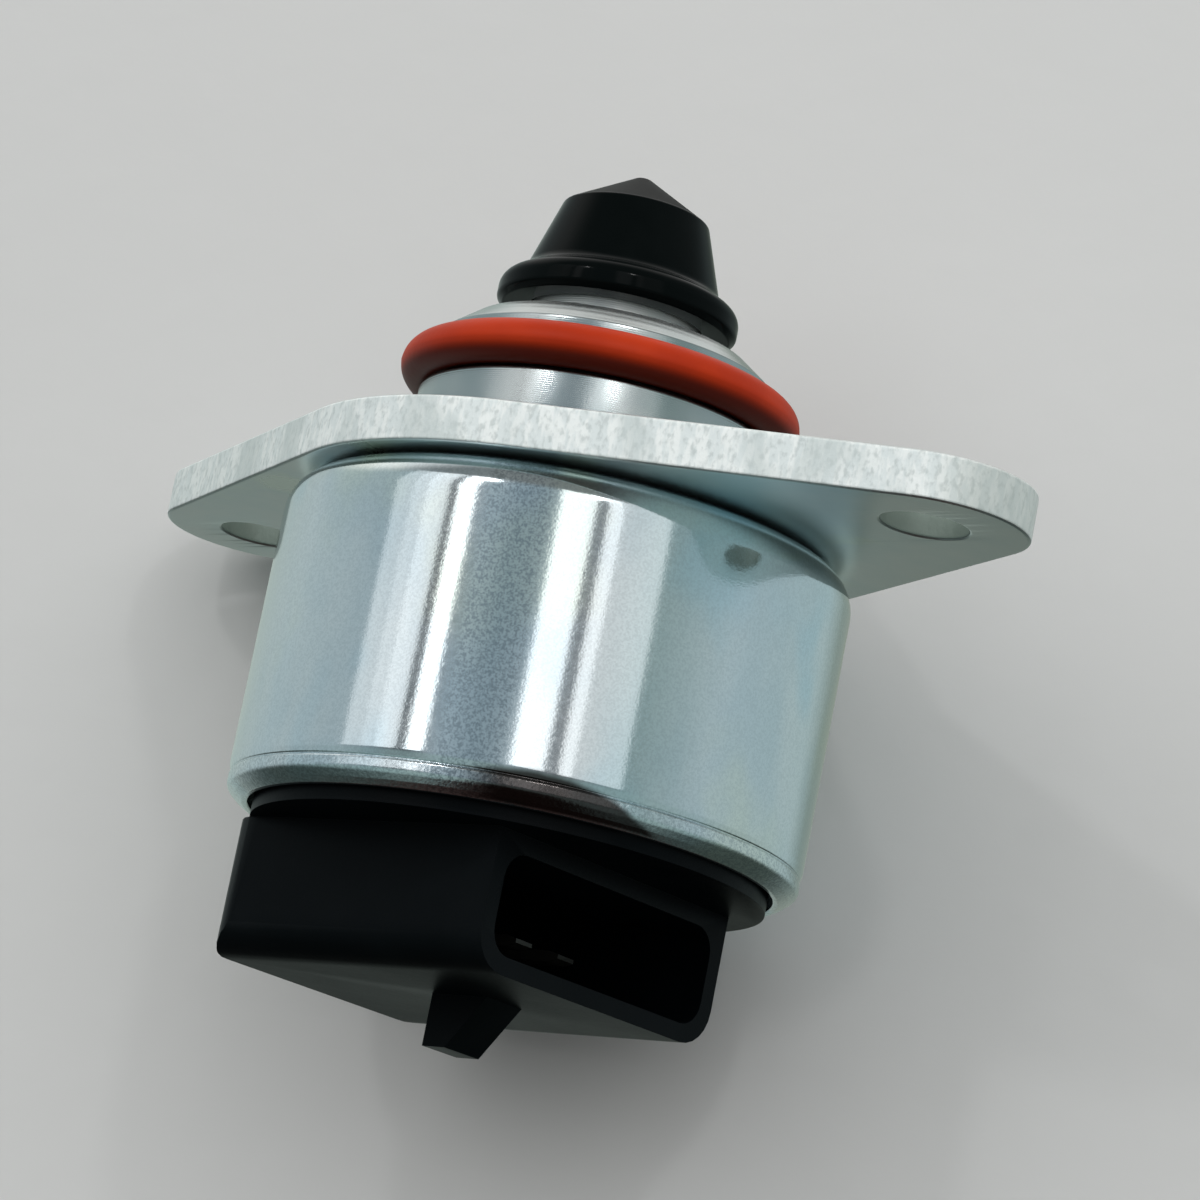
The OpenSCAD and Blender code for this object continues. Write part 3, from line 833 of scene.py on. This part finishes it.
class VALVE_OT_socket(ValveOperator):
    """Moulds the rear cover with its socket and plates the terminals."""

    bl_idname = "valve.make_socket"
    bl_label = "Socket and terminals"

    def execute(self, context):
        s = self.sizes
        bm = bmesh.new()
        bm.from_mesh(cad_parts["connector_housing"].data)
        weld = 0.002 * MM
        bmesh.ops.remove_doubles(bm, verts=bm.verts, dist=weld)
        bmesh.ops.dissolve_limit(
            bm, angle_limit=math.radians(1.0), verts=bm.verts, edges=bm.edges,
            use_dissolve_boundaries=False)
        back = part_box("connector_housing")[0].x
        sole = low("connector_housing") + s.latch_drop
        back_strip = 0.6 * MM

        def on_heel(edge):
            """An edge that runs across the socket where its sole meets its back."""
            first, second = (vert.co for vert in edge.verts)
            near = all(abs(place.z - sole) < s.sole_corner and place.x < back + back_strip
                       for place in (first, second))
            return (near and edge.is_manifold and edge.calc_face_angle() > math.radians(20.0)
                    and abs(first.z - second.z) < abs(first.y - second.y))

        bmesh.ops.bevel(
            bm, geom=[edge for edge in bm.edges if on_heel(edge)], offset=s.heel,
            offset_type="OFFSET", segments=5, profile=0.5, affect="EDGES", clamp_overlap=True)
        plastic = moulded("socket_plastic", self.colours.socket, 0.34, 0.05)
        cover = piece("moulded_cover", mesh_of("moulded_cover", bm), "valve_housing",
                      plastic, ["connector_housing"])
        soften = cover.modifiers.new("soft_edges", "BEVEL")
        soften.width = s.socket_edge
        soften.segments = 3
        soften.limit_method = "ANGLE"
        soften.angle_limit = math.radians(35.0)
        soften.harden_normals = True
        # Painted shade: the terminals' tin is dark, as in the socket's shaded mouth
        finish_node(steel("shaded_terminal_tin", (0.14, 0.137, 0.125), 0.5),
                    *(f"terminal_{i}" for i in range(1, 5)))
        return {"FINISHED"}


class VALVE_OT_motor(ValveOperator):
    """Finishes the bearing, the rotor and the stator inside the can, and winds the coils."""

    bl_idname = "valve.make_motor"
    bl_label = "Motor inside"

    def execute(self, context):
        s = self.sizes
        finish_node(steel("ground_steel", (0.62, 0.63, 0.65), 0.22),
                    "bearing_outer_race", "bearing_inner_race", "bearing_keeper")
        finish_node(steel("ball_steel", (0.80, 0.81, 0.83), 0.10, 0.97), "bearing_balls")
        finish_node(steel("cage_brass", (0.72, 0.55, 0.25), 0.30), "bearing_cage")
        finish_node(steel("clip_steel", (0.42, 0.42, 0.43), 0.30), "rotor_clip")
        finish_node(moulded("hub_plastic", (0.74, 0.70, 0.60), 0.45), "rotor_hub")
        finish_node(turned_metal("nut_brass", (0.74, 0.56, 0.24)), "drive_nut")
        finish_node(steel("ferrite", (0.10, 0.10, 0.11), 0.55), "rotor_magnet")
        finish_node(steel("stamped_steel", (0.55, 0.57, 0.59), 0.35),
                    *(f"stator_plate_{i}" for i in range(1, 5)))
        finish_node(moulded("bobbin_plastic", (0.10, 0.11, 0.13), 0.45),
                    "coil_bobbin_front", "coil_bobbin_rear")
        finish_node(moulded("pressed_fibre", (0.30, 0.20, 0.11), 0.65), "insulating_washer")
        finish_node(steel("sintered_bronze", (0.58, 0.40, 0.19), 0.45), "rear_bushing")
        finish_node(moulded("seal_rubber", (0.015, 0.015, 0.016), 0.50), "cover_seal")
        wire = wound_wire()
        claw_room = 2.0 * MM
        for end in ("front", "rear"):
            node = f"winding_{end}"
            inner = outer_radius("rotor_magnet") + claw_room
            outer, bottom, top = outer_radius(node), low(node), high(node)
            turns = int((top - bottom) / s.coil_turn)
            bump = (top - bottom) / turns / 2
            outline = [(inner, top), (inner, bottom)]
            for i in range(turns):
                middle = bottom + bump * (2 * i + 1)
                outline += [(outer - bump + bump * math.cos(a), middle + bump * math.sin(a))
                            for a in (math.radians(d) for d in range(-75, 76, 25))]
            piece(f"wound_coil_{end}", lathe(f"wound_coil_{end}", outline, 96), "valve_housing",
                  wire, [node], 60.0)
        return {"FINISHED"}


def view_matrix():
    """Turns the valve's axes into right, forward and up as the camera sees them."""
    return (Matrix.Rotation(VIEW_ROLL, 3, "Y") @ Matrix.Rotation(VIEW_PITCH, 3, "X")
            @ Matrix.Rotation(-VIEW_HEADING, 3, "Z"))


def around(azimuth, elevation, distance):
    """A point seen from the valve: azimuth from the camera's side, towards its right."""
    a, e = math.radians(azimuth), math.radians(elevation)
    offset = Vector((math.sin(a) * math.cos(e), -math.cos(a) * math.cos(e), math.sin(e)))
    return Matrix.Rotation(VIEW_HEADING, 3, "Z") @ offset * distance


class VALVE_OT_stage(ValveOperator):
    """Sets the table, the soft boxes, the room and the camera."""

    bl_idname = "valve.make_stage"
    bl_label = "Stage"

    def execute(self, context):
        self.camera()
        self.table()
        # Name, azimuths of its two sides as the valve sees them, radiance
        for name, left, right, radiance in (
                ("left_edge", -75.5, -67.0, 0.40),
                ("left_middle", -67.0, -60.5, 0.60),
                ("left_panel", -60.5, -51.6, 0.88),
                ("left_strip", -47.6, -40.4, 1.75),
                ("right_strip", -6.4, 7.0, 1.10),
                ("narrow_strip", 12.4, 17.6, 1.00),
                ("right_panel", 17.6, 37.6, 0.47)):
            self.soft_box(name, left, right, PANEL_RISE, PANEL_HEIGHT, radiance)
        for name, left, right in (("left_lamp", -39.7, -36.3), ("right_lamp", 6.3, 9.7)):
            self.soft_box(name, left, right, LAMP_RISE, LAMP_HEIGHT, LAMP_RADIANCE)
        self.room()
        bpy.context.scene.view_settings.view_transform = "Standard"
        return {"FINISHED"}

    def camera(self):
        """The camera at the photograph's place."""
        eye = bpy.data.cameras.new("eye")
        eye.lens = FOCAL_PIXELS / PICTURE_SIDE * SENSOR
        eye.sensor_width = SENSOR
        eye.clip_start = 0.01
        eye.clip_end = 20.0
        holder = bpy.data.objects.new("eye", eye)
        bpy.context.scene.collection.objects.link(holder)
        turned = view_matrix().transposed()
        right, forward, up = turned.col[0], turned.col[1], turned.col[2]
        placed = Matrix((right, up, -forward)).transposed().to_4x4()
        placed.translation = -(turned @ VIEW_OFFSET)
        holder.matrix_world = placed
        bpy.context.scene.camera = holder

    def table(self):
        """The table top under the flange's long side, which only the camera sees, from above."""
        half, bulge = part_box("mounting_flange")[1].x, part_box("mounting_flange")[1].y
        lean = math.acos((bulge - self.sizes.lobe) / (half - self.sizes.lobe))
        outward = Vector((-math.cos(lean), math.sin(lean), 0.0))
        centre = outward * (bulge + 0.05 * MM)
        along = Vector((0.0, 0.0, 1.0))
        across = along.cross(outward)
        bm = bmesh.new()
        reach = 0.9
        corners = [bm.verts.new(centre + across * x * reach + along * y * reach)
                   for x, y in ((-1, -1), (1, -1), (1, 1), (-1, 1))]
        bm.faces.new(corners)
        mesh = bpy.data.meshes.new("table_top")
        bm.to_mesh(mesh)
        bm.free()
        if mesh.polygons[0].normal.dot(outward) > 0:
            mesh.flip_normals()
        top = bpy.data.objects.new("table_top", mesh)
        bpy.context.scene.collection.objects.link(top)
        look = Look("table_top", Specular_IOR_Level=0.2, Roughness=0.8)
        speck = look.noise(look.place, 260.0, 4.0)
        wash = look.noise(look.place, 14.0, 2.0)
        base = tuple(self.colours.table)
        look.set("Base Color", look.blend(look.step(wash, 0.3, 0.7), tinted(base, 0.96), base))
        look.bump(speck, 0.05 * MM)
        hidden = look.node("ShaderNodeBsdfTransparent")
        behind = look.node("ShaderNodeNewGeometry", out="Backfacing")
        shown = Val(look, look.shader.outputs[0])
        look.link(look.node("ShaderNodeMixShader", None, {0: behind, 1: shown, 2: hidden}),
                  look.tree.nodes["Material Output"].inputs["Surface"])
        mesh.materials.append(look.material)
        top.visible_diffuse = False
        top.visible_glossy = False
        top.visible_transmission = False
        top.visible_shadow = False

    def soft_box(self, name, left, right, elevation, height, radiance):
        """A rectangular lamp that faces the valve and fills the angle between its two sides."""
        width = 2 * BOX_DISTANCE * math.tan(math.radians(right - left) / 2)
        light = bpy.data.lights.new(name, "AREA")
        light.shape = "RECTANGLE"
        light.size = width
        light.size_y = height
        light.energy = radiance * math.pi * width * height
        lamp = bpy.data.objects.new(name, light)
        bpy.context.scene.collection.objects.link(lamp)
        place = around((left + right) / 2, elevation, BOX_DISTANCE)
        backward = place.normalized()
        side = Vector((0.0, 0.0, 1.0)).cross(backward).normalized()
        turned = Matrix((side, backward.cross(side), backward)).transposed().to_4x4()
        turned.translation = place
        lamp.matrix_world = turned

    def room(self):
        """Plain light for dull surfaces, and a room with pale and dark walls for bright metal."""
        world = bpy.data.worlds.new("room")
        world.use_nodes = True
        bpy.context.scene.world = world
        graph = Graph(world.node_tree)
        path = graph.tree.nodes.new("ShaderNodeLightPath")
        camera, glossy, through = (Val(graph, path.outputs[f"Is {kind} Ray"])
                                   for kind in ("Camera", "Glossy", "Transmission"))
        facing = graph.node("ShaderNodeTexCoord", out="Generated")
        turn = Matrix.Rotation(VIEW_HEADING, 3, "Z")
        right = graph.vector("DOT_PRODUCT", facing, tuple(turn.col[0]), out="Value")
        ahead = graph.vector("DOT_PRODUCT", facing, tuple(turn.col[1]), out="Value")
        rise = graph.split(facing)[2]
        azimuth = graph.maths("ARCTAN2", right, 0.0 - ahead) * (180.0 / math.pi)
        # From behind the valve by its left to the front at 0.5, and by its right to behind again
        walls = graph.node("ShaderNodeValToRGB", {"stops": (
            (0.00, (0.42, 0.49, 0.45)),
            (0.16, (0.47, 0.55, 0.56)),
            (0.28, (0.38, 0.46, 0.49)),
            (0.365, (0.10, 0.105, 0.11)),
            (0.405, (0.38, 0.46, 0.51)),
            (0.44, (0.255, 0.33, 0.375)),
            (0.467, (0.28, 0.35, 0.39)),
            (0.483, (0.40, 0.47, 0.51)),
            (0.535, (0.19, 0.20, 0.21)),
            (0.61, (0.27, 0.36, 0.36)),
            (0.71, (0.45, 0.54, 0.56)),
            (0.87, (0.41, 0.51, 0.51)),
            (0.92, (0.25, 0.31, 0.28)),
            (0.98, (0.28, 0.32, 0.28)),
            (1.00, (0.42, 0.49, 0.45)))}, {0: azimuth / 360.0 + 0.5})
        front, rear = (0.20, 0.22, 0.22), (1.05, 1.05, 1.03)
        ceiling = graph.blend(graph.step(ahead, -0.25, 0.25), front, rear)
        ceiling = graph.blend(graph.step(right, 0.25, 0.5), ceiling, (0.30, 0.34, 0.34))
        room = graph.blend(graph.step(rise, 0.5, 0.72), walls, ceiling)
        floor = graph.step(rise, -0.05, -0.5)
        front, rear = (0.31, 0.41, 0.40), (0.05, 0.068, 0.063)
        ground = graph.blend(graph.step(ahead, -0.3, 0.4), front, rear)
        room = graph.blend(floor, room, ground)
        beside = graph.maths("ABSOLUTE", right + 0.02)
        shade = graph.step(rise, -0.40, -0.65) * graph.step(beside, 0.36, 0.20)
        dark_wood = (0.035, 0.020, 0.018)
        room = graph.blend(shade, room, dark_wood)
        below, above = (0.10, 0.105, 0.10), (1.15, 1.15, 1.14)
        dull = graph.blend(graph.step(rise, -0.5, 0.5), below, above)
        seen = graph.blend(glossy, dull, room)
        backdrop = (0.57, 0.575, 0.57)
        seen = graph.blend(camera + through, seen, backdrop)
        graph.link(seen, graph.tree.nodes["Background"].inputs["Color"])


class VALVE_PT_panel(bpy.types.Panel):
    """Lists what can be made."""

    bl_label = "Idle air control valve"
    bl_idname = "VALVE_PT_panel"
    bl_space_type = "VIEW_3D"
    bl_region_type = "UI"
    bl_category = "Valve"

    def draw(self, context):
        for operator in OPERATORS:
            self.layout.operator(operator.bl_idname)
        for group in (context.scene.valve_sizes, context.scene.valve_colours):
            for name in group.__annotations__:
                self.layout.prop(group, name)


OPERATORS = (VALVE_OT_can, VALVE_OT_flange, VALVE_OT_pilot, VALVE_OT_pintle,
             VALVE_OT_socket, VALVE_OT_motor, VALVE_OT_stage)
CLASSES = (ValveSizes, ValveColours, *OPERATORS, VALVE_PT_panel)


def register():
    for cls in CLASSES:
        bpy.utils.register_class(cls)
    bpy.types.Scene.valve_sizes = PointerProperty(type=ValveSizes)
    bpy.types.Scene.valve_colours = PointerProperty(type=ValveColours)


def unregister():
    del bpy.types.Scene.valve_sizes
    del bpy.types.Scene.valve_colours
    for cls in reversed(CLASSES):
        bpy.utils.unregister_class(cls)


def main():
    register()
    for operator in OPERATORS:
        group, name = operator.bl_idname.split(".")
        getattr(getattr(bpy.ops, group), name)()


if __name__ == "__main__":
    main()
